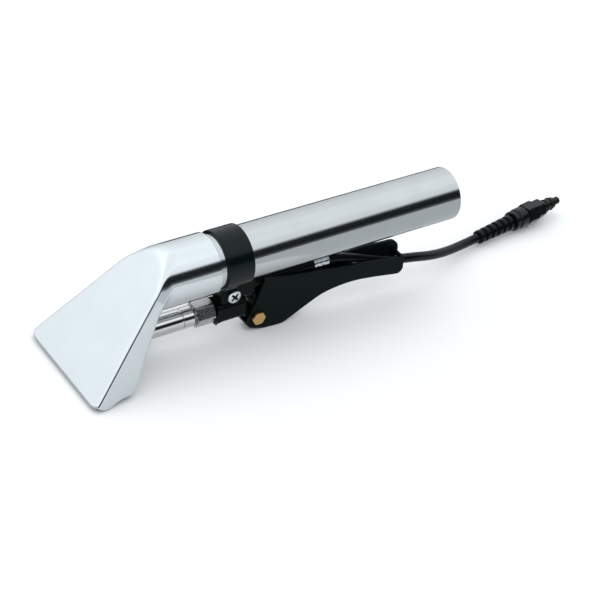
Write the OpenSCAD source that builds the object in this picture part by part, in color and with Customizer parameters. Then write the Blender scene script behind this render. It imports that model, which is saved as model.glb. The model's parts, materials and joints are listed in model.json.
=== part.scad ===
// Hand tool for a carpet and upholstery extractor: a suction tube with a flared
// stainless head, a spray valve clamped under the tube, and a squeeze trigger.
// Everything is modelled in the tool's own frame, with the tube's axis along X,
// the tail at +X and Z up, and is then stood on its lip and its trigger heel.

/* [Suction tube] */
// Outer diameter of the suction tube
tube_od = 38.1; // [36:0.1:40]
// Wall of the suction tube
tube_wall = 1.2; // [0.8:0.1:2]
// Tail end of the tube, measured from the middle of the clamp ring
tube_tail = 180.4; // [160:0.1:220]
// Front end of the tube inside the neck
tube_front = -42; // [-48:1:-36]

/* [Head] */
// Sheet thickness of the head
sheet = 1.2; // [0.8:0.1:1.6]
// Width of the lip
lip_w = 94.6; // [80:0.2:110]
// Lip line of the front plate, X
lip_x = -121.8; // [-130:0.1:-115]
// Lip line of the front plate, Z
lip_z = -53; // [-60:0.1:-48]
// Slope of the front plate above the tube's axis, in degrees
face_angle = 45.8; // [40:0.1:50]
// Length of the front plate up its slope
face_len = 92; // [85:1:98]
// Angle that each side plate turns in, in degrees
taper_angle = 16.2; // [12:0.1:20]
// Clear depth of the suction duct behind the front plate
duct_gap = 8; // [6:0.5:10]
// Radius of the two lip corners
lip_corner = 5; // [2:0.5:8]
// Outer diameter of the neck that slides over the tube
neck_od = 42.6; // [41:0.1:44]
// Rear end of the neck
neck_rear = -15.6; // [-20:0.1:-13]

/* [Clamp and valve] */
// Width of the clamp ring
clamp_w = 20; // [16:0.5:24]
// Wall of the clamp ring
clamp_wall = 2; // [1.5:0.1:3]
// Height of the clamp screw
screw_z = -27.4; // [-29:0.1:-26]
// Height of the valve's chamber, barrel and plunger
valve_z = -39.5; // [-42:0.1:-38]
// Width of the valve block
valve_w = 16; // [14:0.5:18]
// Height of the inlet nipple
inlet_z = -27; // [-28:0.1:-26]
// Rear end of the inlet nipple
inlet_end = 72; // [64:1:80]

/* [Trigger] */
// Pivot, X
pivot_x = 24; // [22:0.1:27]
// Pivot, Z
pivot_z = -53; // [-55:0.1:-51]
// Diameter of the pivot bolt
pivot_d = 6; // [5:0.1:7]
// Outer width of the trigger channel
trigger_w = 13; // [12:0.1:15]
// Wall of the trigger channel
trigger_wall = 2; // [1.6:0.1:2.4]

/* [Hose] */
// Outer diameter of the solution hose
hose_d = 7; // [6:0.1:8]

/* [Hidden] */

$fn = 96;
slack = 1;                 // how far a cutting tool runs past what it cuts
through = 60;              // half length of a tool that cuts right through
fit_gap = 0.3;             // clearance between a moving piece and a fixed one

tube_r = tube_od / 2;
neck_r = neck_od / 2;
neck_in = neck_r - sheet;
clamp_r = tube_r + clamp_wall;

// How the tool stands: on the back of its lip and on the trigger's heel
lip_rest = [-112.8, -55.4];
heel_rest = [43.1, -65];
tilt = atan((lip_rest[1] - heel_rest[1]) / (heel_rest[0] - lip_rest[0]));
lift = -(lip_rest[0] * sin(tilt) + lip_rest[1] * cos(tilt));
front_reach = lip_x * cos(tilt) - lip_z * sin(tilt);
tail_reach = tube_tail * cos(tilt) + tube_r * sin(tilt);
mid_x = (front_reach + tail_reach) / 2;

// Head: s runs up the front plate from the lip, d runs back from its outer face
taper = tan(taper_angle);
duct_back = sheet + duct_gap;
duct_outer = duct_back + sheet;
back_lip_s = 6.7;          // where the suction back plate starts, up from the lip
hood_low = [21.9, 23.5];   // rear lower corner of the hood, as [s, d]
hood_high = [71, 11];      // where the hood's back reaches the duct's back
hood_top_s = 68.4;         // upper end of the hood's back plate
hood_lean = atan((hood_low[1] - hood_high[1]) / (hood_high[0] - hood_low[0]));
cheek_end = face_len - sheet * (1 + sin(taper_angle));
cheek = [[3.4, 0], [cheek_end, 0], [cheek_end, duct_outer], hood_high, hood_low,
         [20, 22.4], [16.8, 18.7], [13.8, 15], [9.9, 12], [7, 10.3], [4.9, 8.1],
         [3.4, 4]];

// Spray line inside the hood: the jet pipe meets the nozzle's axis at depth nozzle_d
nozzle_d = 14.5;
nozzle_rise = valve_z - lip_z;
nozzle_run = (nozzle_d + nozzle_rise * cos(face_angle)) / sin(face_angle);
nozzle_s = nozzle_run * cos(face_angle) + nozzle_rise * sin(face_angle);
pipe_front = lip_x + nozzle_run;
elbow_r = 4;
pipe_r = 3.5;
bore_r = 2;                // liquid passages

// Spray line outside the head
barrel_r = 7.4;
barrel_front = -62;
barrel_rear = -24.4;
valve_front = -9.5;
valve_rear = 13;
nut_flats = 16;
spigot_r = 5;
washer_x = -18.2;
washer_t = 1.2;

// Clamp lugs and the screw that pulls them together
clamp_slot = 10;           // gap between the two lugs
lug_t = 2.4;
lug_front = -6.5;
lug_rear = 9.5;
lug_top = -17.5;
lug_low = -33;
screw_x = 2.5;
screw_r = 2;
screw_end = 11;
pan_r = 4.6;
pan_h = 2.6;
recess_w = 1;

// Valve block, with the web up to the tube, the inlet boss and the pivot lug
block_top = -33.4;
block_low = -48.4;
block_corner = 4;
boss_rear = 22;
boss_top = -22.4;
boss_low = -33;
pivot_lug_r = 5;
bolt_flats = 9;
bolt_head_t = 2.2;
pivot_lug = [[9, -46], [24, -48], [24, -58], [21, -57], [12.5, -48.4], [9, -48.4]];
inlet_r = 4.2;
socket_r = 3;              // where the inlet nipple is pressed in
socket_x = 14;

// Valve internals along the chamber's axis
chamber_r = 5.2;
poppet_x = -3.4;
poppet_t = 1.4;
stem_r = 2;
seat_x = 0;
seat_t = 1.5;
seat_r = 3;
poppet_r = 4.4;
washer_r = 4.2;
gland_x = 11;
gland_flats = 10;
gland_head = 2;
stem_seal_t = 2;
spring_r = 3.4;
spring_wire = 0.8;
spring_front = -7.5;
spring_turns = 4;
web_x = 20.5;              // front face of the trigger's push web

// Trigger outlines in the side view, as [x, z]
trigger_in = trigger_w / 2 - trigger_wall;
heel_front = [30.8, heel_rest[1] + (heel_rest[0] - 30.8) * tan(tilt)];
trigger_under = [[16.3, -58.5], [19.3, -60.8], [25, -62.8], heel_front, heel_rest,
                 [47.1, -64.2], [51, -62.1], [58.9, -58.3], [66.9, -54.4],
                 [74.8, -50.8], [83, -48.9], [91.4, -48], [99.8, -47.7]];
trigger_tail = [[108.4, -48.2], [117.1, -49.4], [125.9, -50.9], [134.9, -52.6],
                [141.1, -53.7], [144.1, -52.9], [145.3, -50.1], [145.8, -46]];
near_top = [[145.5, -40.2], [28.1, -22.9], [21.2, -41.9], [18.3, -46.9]];
far_top = [[147.4, -44.5], [147.9, -42], [147, -38.2], [144.8, -34.8], [141.8, -32.6],
           [138.4, -31.9], [134, -31], [116.6, -29.8], [100, -30.5], [28.1, -22.9],
           [21.2, -41.9], [18.3, -46.9]];

// Solution hose, standing frame: [x, y, z]; it starts inside the ferrule
hose_route = [[44, 0, 39.8], [48, 0, 40.1], [52, 0, 40.3], [58, 0, 39.9], [66, 0, 38.2],
              [78, 0, 35], [90, 0, 31.4], [100, 0, 28.5], [110, 0.1, 26], [122, 0.6, 23.8],
              [134, 1.8, 21.3], [148, 4.4, 17.4], [162, 8.2, 13.6], [176, 13, 10.2],
              [190, 17.8, 7.8], [202, 21.4, 6.6], [212, 23.6, 6.5]];
hose_sides = 10;

// Plug end: a straight line that carries on from the hose
plug_start = [212, 23.6, 6.5];
plug_turn = 10;            // degrees towards +Y
plug_rise = 2.6;           // degrees upwards
relief_len = 40;
relief_ribs = 6;
relief_root_r = 4.4;
relief_rib_r = 5.3;
relief_flare = 0.15;       // how much each rib grows on the one before
body_len = 12.5;
coupling_r = 8.1;
coupling_nut_r = 9.4;      // the larger hexagon, across its corners
lock_nut_r = 8;            // the smaller one behind it
coupling_nut_len = 19.5;
lock_nut_len = 9;
stem_len = 21;
plug_r = 4.5;
plug_tip_r = 3;
plug_tip_len = 6;
plug_bore_r = 1.5;
plug_seal_r = 5.2;
plug_seal_w = 1.6;
plug_seal_at = [5, 10];

function unit(v) = v / norm(v);
// Direction of a path at point i
function heading(p, i) = unit(p[min(i + 1, len(p) - 1)] - p[max(i - 1, 0)]);
// Corners of one ring of a tube, square to the path, with its first side kept level
function ring_at(p, i, r, sides) =
    let (h = heading(p, i), u = unit(cross([0, 0, 1], h)), v = cross(h, u))
    [for (k = [0 : sides - 1]) p[i] + r * (cos(360 * k / sides) * u + sin(360 * k / sides) * v)];

// Stands the tool on its lip and heel, with its footprint centred on the origin
module standing() {
    translate([-mid_x, 0, lift]) rotate([0, -tilt, 0]) children();
}

// A cylinder along X between two stations at height z
module rod_x(x0, x1, z, r) {
    translate([x0, 0, z]) rotate([0, 90, 0]) cylinder(h = x1 - x0, r = r);
}

// A hexagonal bar along X
module hex_x(x0, x1, z, flats) {
    translate([x0, 0, z]) rotate([0, 90, 0]) rotate(30)
        cylinder(h = x1 - x0, r = flats / 2 / cos(30), $fn = 6);
}

// A cylinder along Y between two stations
module rod_y(x, z, y0, y1, r) {
    translate([x, y0, z]) rotate([-90, 0, 0]) cylinder(h = y1 - y0, r = r);
}

// A hexagonal bar along Y
module hex_y(x, z, y0, y1, flats) {
    translate([x, y0, z]) rotate([-90, 0, 0])
        cylinder(h = y1 - y0, r = flats / 2 / cos(30), $fn = 6);
}

// An outline given as [x, z] points, made into a slab between two Y stations
module slab_y(outline, y0, y1) {
    translate([0, y1, 0]) rotate([90, 0, 0]) linear_extrude(y1 - y0) polygon(outline);
}

// Head frame: X up the front plate, Y across, Z out of the front plate
module on_face() {
    translate([lip_x, 0, lip_z]) rotate([0, -face_angle, 0]) children();
}

function half_w(s) = lip_w / 2 - taper * s;

// A plate parallel to the front plate, from depth d0 to d1, narrowed by inset
module face_slab(s0, s1, d0, d1, inset) {
    translate([0, 0, -d1]) linear_extrude(d1 - d0)
        polygon([[s0, half_w(s0) - inset], [s1, half_w(s1) - inset],
                 [s1, -half_w(s1) + inset], [s0, -half_w(s0) + inset]]);
}

// One side plate; side is -1 for the left and 1 for the right
module side_plate(side) {
    on_face() translate([0, side * lip_w / 2, 0]) rotate([0, 0, -side * taper_angle])
        translate([0, side > 0 ? 0 : sheet, 0]) rotate([90, 0, 0])
            linear_extrude(sheet)
                polygon([for (p = cheek) [p[0] / cos(taper_angle), -max(p[1], sheet)]]);
}

module suction_tube() {
    color("lightsteelblue") standing() difference() {
        rod_x(tube_front, tube_tail, 0, tube_r);
        rod_x(tube_front - slack, tube_tail + slack, 0, tube_r - tube_wall);
    }
}

module neck_collar() {
    color("silver") standing() difference() {
        union() {
            rod_x(lip_x, neck_rear, 0, neck_r);
            // end wall that closes the duct beside the neck
            on_face() translate([face_len - sheet, -half_w(face_len), -duct_outer])
                cube([sheet, 2 * half_w(face_len), duct_outer]);
        }
        rod_x(lip_x - slack, neck_rear + slack, 0, neck_in);
        // everything in front of the front plate
        on_face() translate([-through, -through, 0]) cube([4 * through, 2 * through, 2 * through]);
        // the duct, and the plates round it
        on_face() translate([-through, -through, -duct_outer])
            cube([through + face_len - sheet, 2 * through, duct_outer + slack]);
    }
}

module front_plate() {
    color("gainsboro") standing() {
        difference() {
            on_face() face_slab(0, face_len - sheet, 0, sheet, 0);
            // rounded lip corners
            for (side = [-1, 1]) on_face() lip_corner_cut(side);
        }
        intersection() {
            on_face() translate([face_len - sheet, -neck_r, -sheet])
                cube([neck_r, 2 * neck_r, sheet]);
            rod_x(lip_x, 0, 0, neck_in);
        }
    }
}

// What a rounded lip corner takes off the front plate
module lip_corner_cut(side) {
    y0 = side * (lip_w / 2 + slack);
    y1 = side * (lip_w / 2 - lip_corner - taper * lip_corner);
    difference() {
        translate([-slack, min(y0, y1), -sheet - slack])
            cube([lip_corner + slack, abs(y1 - y0), sheet + 2 * slack]);
        translate([lip_corner, y1, -sheet - 2 * slack])
            cylinder(h = sheet + 4 * slack, r = lip_corner);
    }
}

module left_side_plate() {
    color("darkgray") standing() side_plate(-1);
}

module right_side_plate() {
    color("darkgray") standing() side_plate(1);
}

module suction_back_plate() {
    color("lightgray") standing() difference() {
        on_face() face_slab(back_lip_s, face_len - sheet, duct_back, duct_outer,
                            sheet / cos(taper_angle));
        rod_x(lip_x, 0, 0, neck_r);
    }
}

module hood_back_plate() {
    inset = sheet / cos(taper_angle) + 0.1;
    run = (hood_top_s - hood_low[0]) / cos(hood_lean);
    color("lightgray") standing() difference() {
        on_face() translate([hood_low[0], 0, -hood_low[1]]) rotate([0, -hood_lean, 0])
            linear_extrude(sheet)
                polygon([[0, half_w(hood_low[0]) - inset],
                         [run, half_w(hood_top_s) - inset],
                         [run, -half_w(hood_top_s) + inset],
                         [0, -half_w(hood_low[0]) + inset]]);
        rod_x(lip_x, 0, 0, neck_r);
        rod_x(lip_x, 0, valve_z, pipe_r);
    }
}

module neck_seal() {
    color("dimgray") standing() difference() {
        rod_x(tube_front + 4, neck_rear - 3, 0, neck_in);
        rod_x(tube_front, neck_rear, 0, tube_r);
    }
}

module tube_clamp() {
    color("#26292b") standing() difference() {
        union() {
            rod_x(-clamp_w / 2, clamp_w / 2, 0, clamp_r);
            for (side = [-1, 1])
                translate([lug_front, side * (clamp_slot + lug_t) / 2 - lug_t / 2, lug_low])
                    cube([lug_rear - lug_front, lug_t, lug_top - lug_low]);
        }
        rod_x(-clamp_w, clamp_w, 0, tube_r);
        translate([-clamp_w, -clamp_slot / 2, -through])
            cube([2 * clamp_w, clamp_slot, through - tube_r / 2]);
        rod_y(screw_x, screw_z, -through, through, screw_r);
    }
}

module clamp_screw() {
    head_y = -clamp_slot / 2 - lug_t;
    color("whitesmoke") standing() difference() {
        union() {
            rod_y(screw_x, screw_z, head_y, screw_end, screw_r);
            rod_y(screw_x, screw_z, head_y - pan_h, head_y, pan_r);
        }
        for (turn = [45, 135]) translate([screw_x, head_y - pan_h, screw_z])
            rotate([0, turn, 0]) cube([pan_r + recess_w / 2, pan_h, recess_w], center = true);
    }
}

module clamp_nut() {
    color("silver") standing() difference() {
        hex_y(screw_x, screw_z, clamp_slot / 2 + lug_t, clamp_slot / 2 + lug_t + 3.2, 7);
        rod_y(screw_x, screw_z, 0, through, screw_r);
    }
}

// Valve block section with round corners, across Y and along Z from its centre
module block_section(w, h, r) {
    square([w - 2 * r, h], center = true);
    square([w, h - 2 * r], center = true);
    for (a = [-1, 1], b = [-1, 1])
        translate([a * (w / 2 - r), b * (h / 2 - r)]) circle(r);
}

module valve_body() {
    lug_w = 2 * (trigger_in - fit_gap);
    color("#1d2022") standing() difference() {
        union() {
            // chamber block
            translate([valve_front, 0, (block_top + block_low) / 2]) rotate([90, 0, 90])
                linear_extrude(valve_rear - valve_front)
                    block_section(valve_w, block_top - block_low, block_corner);
            // web up to the tube, between the clamp's lugs
            translate([lug_front, -clamp_slot / 2, block_top - slack])
                cube([valve_rear - lug_front, clamp_slot, lug_top - block_top]);
            // inlet boss behind the web
            translate([valve_rear - slack, -lug_w / 2, boss_low])
                cube([boss_rear - valve_rear + slack, lug_w, boss_top - boss_low]);
            // pivot lug
            slab_y(pivot_lug, -lug_w / 2, lug_w / 2);
            rod_y(pivot_x, pivot_z, -lug_w / 2, lug_w / 2, pivot_lug_r);
        }
        rod_x(-clamp_w, clamp_w, 0, tube_r);
        rod_x(spring_front, valve_rear + slack, valve_z, chamber_r);
        rod_x(valve_front - slack, valve_rear, valve_z, bore_r);
        rod_x(2 * bore_r, boss_rear + slack, inlet_z, bore_r);
        translate([2 * bore_r + slack, 0, valve_z]) cylinder(h = inlet_z - valve_z, r = bore_r);
        rod_x(socket_x, boss_rear + slack, inlet_z, socket_r);
        rod_y(screw_x, screw_z, -through, through, screw_r);
        rod_y(pivot_x, pivot_z, -through, through, pivot_d / 2);
    }
}

module valve_seat() {
    color("goldenrod") standing() difference() {
        rod_x(seat_x, seat_x + seat_t, valve_z, chamber_r);
        rod_x(seat_x - slack, seat_x + seat_t + slack, valve_z, seat_r);
    }
}

module plunger() {
    tip = web_x - fit_gap - stem_r;
    color("silver") standing() {
        rod_x(poppet_x, tip, valve_z, stem_r);
        rod_x(poppet_x, poppet_x + poppet_t, valve_z, poppet_r);
        translate([tip, 0, valve_z]) sphere(stem_r);
    }
}

module poppet_seal() {
    color("black") standing() difference() {
        rod_x(poppet_x + poppet_t, seat_x - 0.05, valve_z, washer_r);
        rod_x(poppet_x, seat_x + slack, valve_z, stem_r);
    }
}

// Centre line of the return spring, about the chamber's axis
function spring_point(t) =
    [spring_front + spring_wire / 2 + t * (poppet_x - spring_front - spring_wire),
     spring_r * cos(360 * spring_turns * t),
     valve_z + spring_r * sin(360 * spring_turns * t)];

// A tube swept along a path, with closed ends
module swept(p, r, sides) {
    n = len(p);
    pts = [for (i = [0 : n - 1]) each ring_at(p, i, r, sides)];
    walls = [for (i = [0 : n - 2], k = [0 : sides - 1])
        let (a = i * sides + k, b = i * sides + (k + 1) % sides)
        [a, b, b + sides, a + sides]];
    polyhedron(points = pts,
               faces = concat([[for (k = [sides - 1 : -1 : 0]) k]], walls,
                              [[for (k = [0 : sides - 1]) (n - 1) * sides + k]]),
               convexity = 6);
}

module return_spring() {
    steps = 72;
    color("silver") standing()
        swept([for (i = [0 : steps]) spring_point(i / steps)], spring_wire / 2, 8);
}

module stem_seal() {
    color("black") standing() difference() {
        rod_x(gland_x - stem_seal_t, gland_x, valve_z, chamber_r);
        rod_x(seat_x, gland_x + slack, valve_z, stem_r + 0.05);
    }
}

module gland_nut() {
    color("#9a7a35") standing() difference() {
        union() {
            rod_x(gland_x, valve_rear, valve_z, chamber_r);
            hex_x(valve_rear, valve_rear + gland_head, valve_z, gland_flats);
        }
        rod_x(seat_x, web_x, valve_z, stem_r + 0.05);
    }
}

module outlet_nipple() {
    color("silver") standing() difference() {
        rod_x(washer_x + washer_t, valve_front, valve_z, spigot_r);
        rod_x(barrel_rear, seat_x, valve_z, bore_r);
    }
}

module union_seal() {
    color("black") standing() difference() {
        rod_x(washer_x, washer_x + washer_t, valve_z, spigot_r);
        rod_x(barrel_rear, seat_x, valve_z, bore_r);
    }
}

module union_nut() {
    color("silver") standing() difference() {
        intersection() {
            hex_x(barrel_rear, valve_front, valve_z, nut_flats);
            rod_x(barrel_rear, valve_front, valve_z, nut_flats / 2 * 1.1);
        }
        rod_x(barrel_rear - slack, seat_x, valve_z, spigot_r);
    }
}

module filter_barrel() {
    groove_x = -34.6;
    color("silver") standing() difference() {
        union() {
            rod_x(barrel_front, barrel_rear, valve_z, barrel_r);
            rod_x(barrel_rear, washer_x, valve_z, spigot_r);
        }
        rod_x(barrel_front + 3, barrel_rear - 3, valve_z, barrel_r - 1.8);
        rod_x(barrel_front - slack, washer_x + slack, valve_z, bore_r);
        difference() {
            rod_x(groove_x - 0.4, groove_x + 0.4, valve_z, barrel_r + slack);
            rod_x(groove_x - slack, groove_x + slack, valve_z, barrel_r - 0.5);
        }
    }
}

module filter_screen() {
    color("darkgoldenrod") standing() difference() {
        rod_x(barrel_front + 3, barrel_rear - 3, valve_z, 4.4);
        rod_x(barrel_front, barrel_rear, valve_z, 3.9);
    }
}

// Frame of the nozzle: Z runs down towards the carpet from the elbow's centre
module on_nozzle() {
    on_face() translate([nozzle_s, 0, -nozzle_d]) rotate([0, -90, 0]) children();
}

module jet_pipe() {
    color("silver") standing() difference() {
        rod_x(pipe_front, barrel_front, valve_z, pipe_r);
        rod_x(pipe_front - slack, barrel_front + slack, valve_z, bore_r);
        on_nozzle() translate([0, 0, -3]) cylinder(h = 9, r = elbow_r);
    }
}

module nozzle_elbow() {
    color("silver") standing() difference() {
        on_nozzle() translate([0, 0, -3]) cylinder(h = 9, r = elbow_r);
        on_nozzle() translate([0, 0, -1]) cylinder(h = 8, r = bore_r);
        rod_x(pipe_front, barrel_front, valve_z, bore_r);
    }
}

module nozzle_nut() {
    color("goldenrod") standing() on_nozzle() difference() {
        translate([0, 0, 6]) rotate(30) cylinder(h = 4, r = elbow_r / cos(30), $fn = 6);
        translate([0, 0, 5]) cylinder(h = 6, r = bore_r);
    }
}

module spray_nozzle() {
    color("goldenrod") standing() on_nozzle() difference() {
        translate([0, 0, 10]) cylinder(h = 4, r = 3);
        translate([0, 0, 9]) cylinder(h = 4, r = 1);
        translate([-0.4, -4, 13]) cube([0.8, 8, 2]);
    }
}

module trigger() {
    outer = trigger_w / 2;
    n = len(trigger_under);
    floor_line = concat([for (i = [1 : n - 1]) trigger_under[i]], [trigger_tail[0]]);
    color("#2b3233") standing() difference() {
        union() {
            slab_y(concat(trigger_under, trigger_tail, near_top), -outer, -trigger_in);
            slab_y(concat(trigger_under, trigger_tail, far_top), trigger_in, outer);
            // floor of the channel
            slab_y(concat(floor_line,
                          [for (i = [n - 1 : -1 : 0]) floor_line[i] + [0, trigger_wall]]),
                   -outer, outer);
            // web that pushes the plunger
            slab_y([[web_x, -46], [web_x + 2, -46], [web_x + 2, -33.6], [web_x, -33.6]],
                   -outer, outer);
        }
        rod_y(pivot_x, pivot_z, -through, through, pivot_d / 2 + 0.05);
    }
}

module pivot_bolt() {
    head_y = -trigger_w / 2 - fit_gap;
    color("#d2a566") standing() {
        rod_y(pivot_x, pivot_z, head_y, trigger_w / 2 + 4, pivot_d / 2);
        hex_y(pivot_x, pivot_z, head_y - bolt_head_t, head_y, bolt_flats);
    }
}

module pivot_nut() {
    color("#d2a566") standing() difference() {
        hex_y(pivot_x, pivot_z, trigger_w / 2 + fit_gap, trigger_w / 2 + 3.3, 9);
        rod_y(pivot_x, pivot_z, 0, through, pivot_d / 2);
    }
}

module inlet_nipple() {
    color("#17191a") standing() difference() {
        union() {
            rod_x(socket_x, boss_rear, inlet_z, socket_r);
            rod_x(boss_rear, inlet_end, inlet_z, inlet_r);
        }
        rod_x(0, inlet_end + slack, inlet_z, bore_r);
    }
}

module ferrule() {
    ferrule_front = inlet_end - 2;
    ferrule_rear = inlet_end + 10;
    color("gainsboro") standing() difference() {
        rod_x(ferrule_front, ferrule_rear, inlet_z, inlet_r + 0.2);
        rod_x(ferrule_front - slack, inlet_end, inlet_z, inlet_r);
        rod_x(inlet_end - slack, ferrule_rear + slack, inlet_z, hose_d / 2 + 0.1);
    }
}

module hose() {
    color("#141617") swept(hose_route, hose_d / 2, hose_sides);
}

// Plug frame: Z runs along the plug, away from the hose
module on_plug() {
    translate(plug_start) rotate([0, 90 - plug_rise, plug_turn]) children();
}

module strain_relief() {
    pitch = relief_len / (relief_ribs + 0.5);
    color("#1b1e20") on_plug() difference() {
        union() {
            cylinder(h = relief_len, r = relief_root_r);
            for (i = [0 : relief_ribs - 1]) translate([0, 0, i * pitch])
                cylinder(h = pitch * 0.6, r = relief_rib_r + i * relief_flare);
        }
        translate([0, 0, -slack]) cylinder(h = relief_len + 2 * slack, r = bore_r);
    }
}

module coupling_body() {
    color("#1b1e20") on_plug() difference() {
        translate([0, 0, relief_len]) cylinder(h = body_len, r = coupling_r);
        translate([0, 0, relief_len - slack]) cylinder(h = body_len + 2 * slack, r = bore_r);
    }
}

module coupling_nut() {
    color("#1b1e20") on_plug() difference() {
        translate([0, 0, relief_len + body_len]) rotate(30) {
            cylinder(h = coupling_nut_len - lock_nut_len, r = coupling_nut_r, $fn = 6);
            cylinder(h = coupling_nut_len, r = lock_nut_r, $fn = 6);
        }
        translate([0, 0, relief_len + body_len - slack])
            cylinder(h = coupling_nut_len + 2 * slack, r = plug_r);
    }
}

module plug_stem() {
    base = relief_len + body_len;
    tip = base + coupling_nut_len + stem_len;
    color("#26292b") on_plug() difference() {
        union() {
            translate([0, 0, base]) cylinder(h = tip - plug_tip_len - base, r = plug_r);
            translate([0, 0, tip - plug_tip_len]) cylinder(h = plug_tip_len, r = plug_tip_r);
        }
        translate([0, 0, base - slack]) cylinder(h = tip - base + 2 * slack, r = plug_bore_r);
    }
}

module plug_seals() {
    base = relief_len + body_len + coupling_nut_len;
    color("black") on_plug() for (z = plug_seal_at) difference() {
        translate([0, 0, base + z]) cylinder(h = plug_seal_w, r = plug_seal_r);
        translate([0, 0, base + z - slack]) cylinder(h = plug_seal_w + 2 * slack, r = plug_r);
    }
}

suction_tube();
neck_collar();
front_plate();
left_side_plate();
right_side_plate();
suction_back_plate();
hood_back_plate();
neck_seal();
tube_clamp();
clamp_screw();
clamp_nut();
valve_body();
valve_seat();
plunger();
poppet_seal();
return_spring();
stem_seal();
gland_nut();
outlet_nipple();
union_seal();
union_nut();
filter_barrel();
filter_screen();
jet_pipe();
nozzle_elbow();
nozzle_nut();
spray_nozzle();
trigger();
pivot_bolt();
pivot_nut();
inlet_nipple();
ferrule();
hose();
strain_relief();
coupling_body();
coupling_nut();
plug_stem();
plug_seals();
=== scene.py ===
"""Looks of a hand-held extraction tool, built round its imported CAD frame.

Pieces are laid out in the tool's own frame, in millimetres: X runs along the suction
tube towards its tail, Y to the far side, Z up, and the origin is the middle of the clamp
ring on the tube's axis. TOOL carries that frame into the row frame, in metres.
"""
import json
import math

import bmesh
import bpy
from mathutils import Matrix, Vector


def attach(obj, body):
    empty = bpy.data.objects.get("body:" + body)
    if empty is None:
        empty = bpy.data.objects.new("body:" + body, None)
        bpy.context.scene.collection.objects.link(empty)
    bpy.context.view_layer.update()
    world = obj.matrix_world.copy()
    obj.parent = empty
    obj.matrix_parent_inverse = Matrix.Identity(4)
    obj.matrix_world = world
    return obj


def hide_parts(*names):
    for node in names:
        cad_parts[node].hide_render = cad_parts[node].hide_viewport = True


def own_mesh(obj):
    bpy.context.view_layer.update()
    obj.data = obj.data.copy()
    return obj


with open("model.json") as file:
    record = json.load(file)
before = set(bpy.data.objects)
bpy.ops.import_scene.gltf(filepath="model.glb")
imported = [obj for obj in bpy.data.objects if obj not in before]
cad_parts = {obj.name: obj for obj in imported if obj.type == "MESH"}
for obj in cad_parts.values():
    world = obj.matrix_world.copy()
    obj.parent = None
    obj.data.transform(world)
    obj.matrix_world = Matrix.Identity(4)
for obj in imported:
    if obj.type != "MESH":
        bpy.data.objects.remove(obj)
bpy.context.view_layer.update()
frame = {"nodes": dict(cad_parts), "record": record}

MM = 0.001


# ---------------------------------------------------------------- the tool's frame

def mount(name):
    """One of the record's mounts."""
    return next(m for m in frame["record"]["mounts"] if m["name"] == name)


def tool_frame(tail_station):
    """Matrix from the tool's frame to the row frame; the vacuum port marks the tube's tail."""
    port = mount("vacuum_port")
    x = Vector(port["axis"]).normalized()
    y = Vector((0, 1, 0))
    z = x.cross(y)
    origin = Vector(port["pos_m"]) - tail_station * MM * x
    return Matrix.Translation(origin) @ Matrix((x, y, z)).transposed().to_4x4() @ Matrix.Scale(MM, 4)


TAIL = 180.4                        # the tube's tail, along X from the clamp
TOOL = tool_frame(TAIL)


# ---------------------------------------------------------------- camera and hose

CAMERA_AT = (-0.5924, -0.8112, 0.6941)      # in the row frame, in metres
CAMERA_TURN = (56.003, -7.253, -32.842)     # in degrees
LENS_MM = 106.1
SENSOR_MM = 36


def make_camera():
    data = bpy.data.cameras.new("camera")
    data.lens = LENS_MM
    data.sensor_width = SENSOR_MM
    data.clip_end = 20
    camera = bpy.data.objects.new("camera", data)
    bpy.context.scene.collection.objects.link(camera)
    camera.location = CAMERA_AT
    camera.rotation_euler = [math.radians(a) for a in CAMERA_TURN]
    bpy.context.scene.camera = camera


make_camera()

# The hose's centre line in the row frame, in millimetres, as part.scad has it
HOSE_ROUTE = [(44, 0, 39.8), (48, 0, 40.1), (52, 0, 40.3), (58, 0, 39.9), (66, 0, 38.2),
              (78, 0, 35), (90, 0, 31.4), (100, 0, 28.5), (110, 0.1, 26), (122, 0.6, 23.8),
              (134, 1.8, 21.3), (148, 4.4, 17.4), (162, 8.2, 13.6), (176, 13, 10.2),
              (190, 17.8, 7.8), (202, 21.4, 6.6), (212, 23.6, 6.5)]
HOSE_D = 7


def catmull(points, per_span):
    """A smooth line through the points, with per_span steps between neighbours."""
    pts = [Vector(p) for p in points]
    ends = [2 * pts[0] - pts[1]] + pts + [2 * pts[-1] - pts[-2]]
    line = []
    for a, b, c, d in zip(ends, ends[1:], ends[2:], ends[3:]):
        for k in range(per_span):
            t = k / per_span
            line.append(0.5 * (2 * b + (c - a) * t + (2 * a - 5 * b + 4 * c - d) * t ** 2
                               + (3 * b - a - 3 * c + d) * t ** 3))
    return line + [pts[-1]]


def path_length(points):
    return sum((b - a).length for a, b in zip(points, points[1:]))


# ---------------------------------------------------------------- materials

def new_material(name):
    mat = bpy.data.materials.new(name)
    mat.use_nodes = True
    return mat, mat.node_tree, mat.node_tree.nodes["Principled BSDF"]


def coords(tree, scale, turn=0.0):
    """Object coordinates, turned about Y by turn radians and then scaled per axis."""
    source = tree.nodes.new("ShaderNodeTexCoord")
    mapping = tree.nodes.new("ShaderNodeMapping")
    mapping.inputs["Rotation"].default_value = (0, turn, 0)
    tree.links.new(source.outputs["Object"], mapping.inputs["Vector"])
    stretch = tree.nodes.new("ShaderNodeVectorMath")
    stretch.operation = "MULTIPLY"
    stretch.inputs[1].default_value = scale
    tree.links.new(mapping.outputs["Vector"], stretch.inputs[0])
    return stretch.outputs["Vector"]


def noise(tree, vector, scale, detail, roughness):
    node = tree.nodes.new("ShaderNodeTexNoise")
    node.inputs["Scale"].default_value = scale
    node.inputs["Detail"].default_value = detail
    node.inputs["Roughness"].default_value = roughness
    tree.links.new(vector, node.inputs["Vector"])
    return node.outputs["Fac"]


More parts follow.
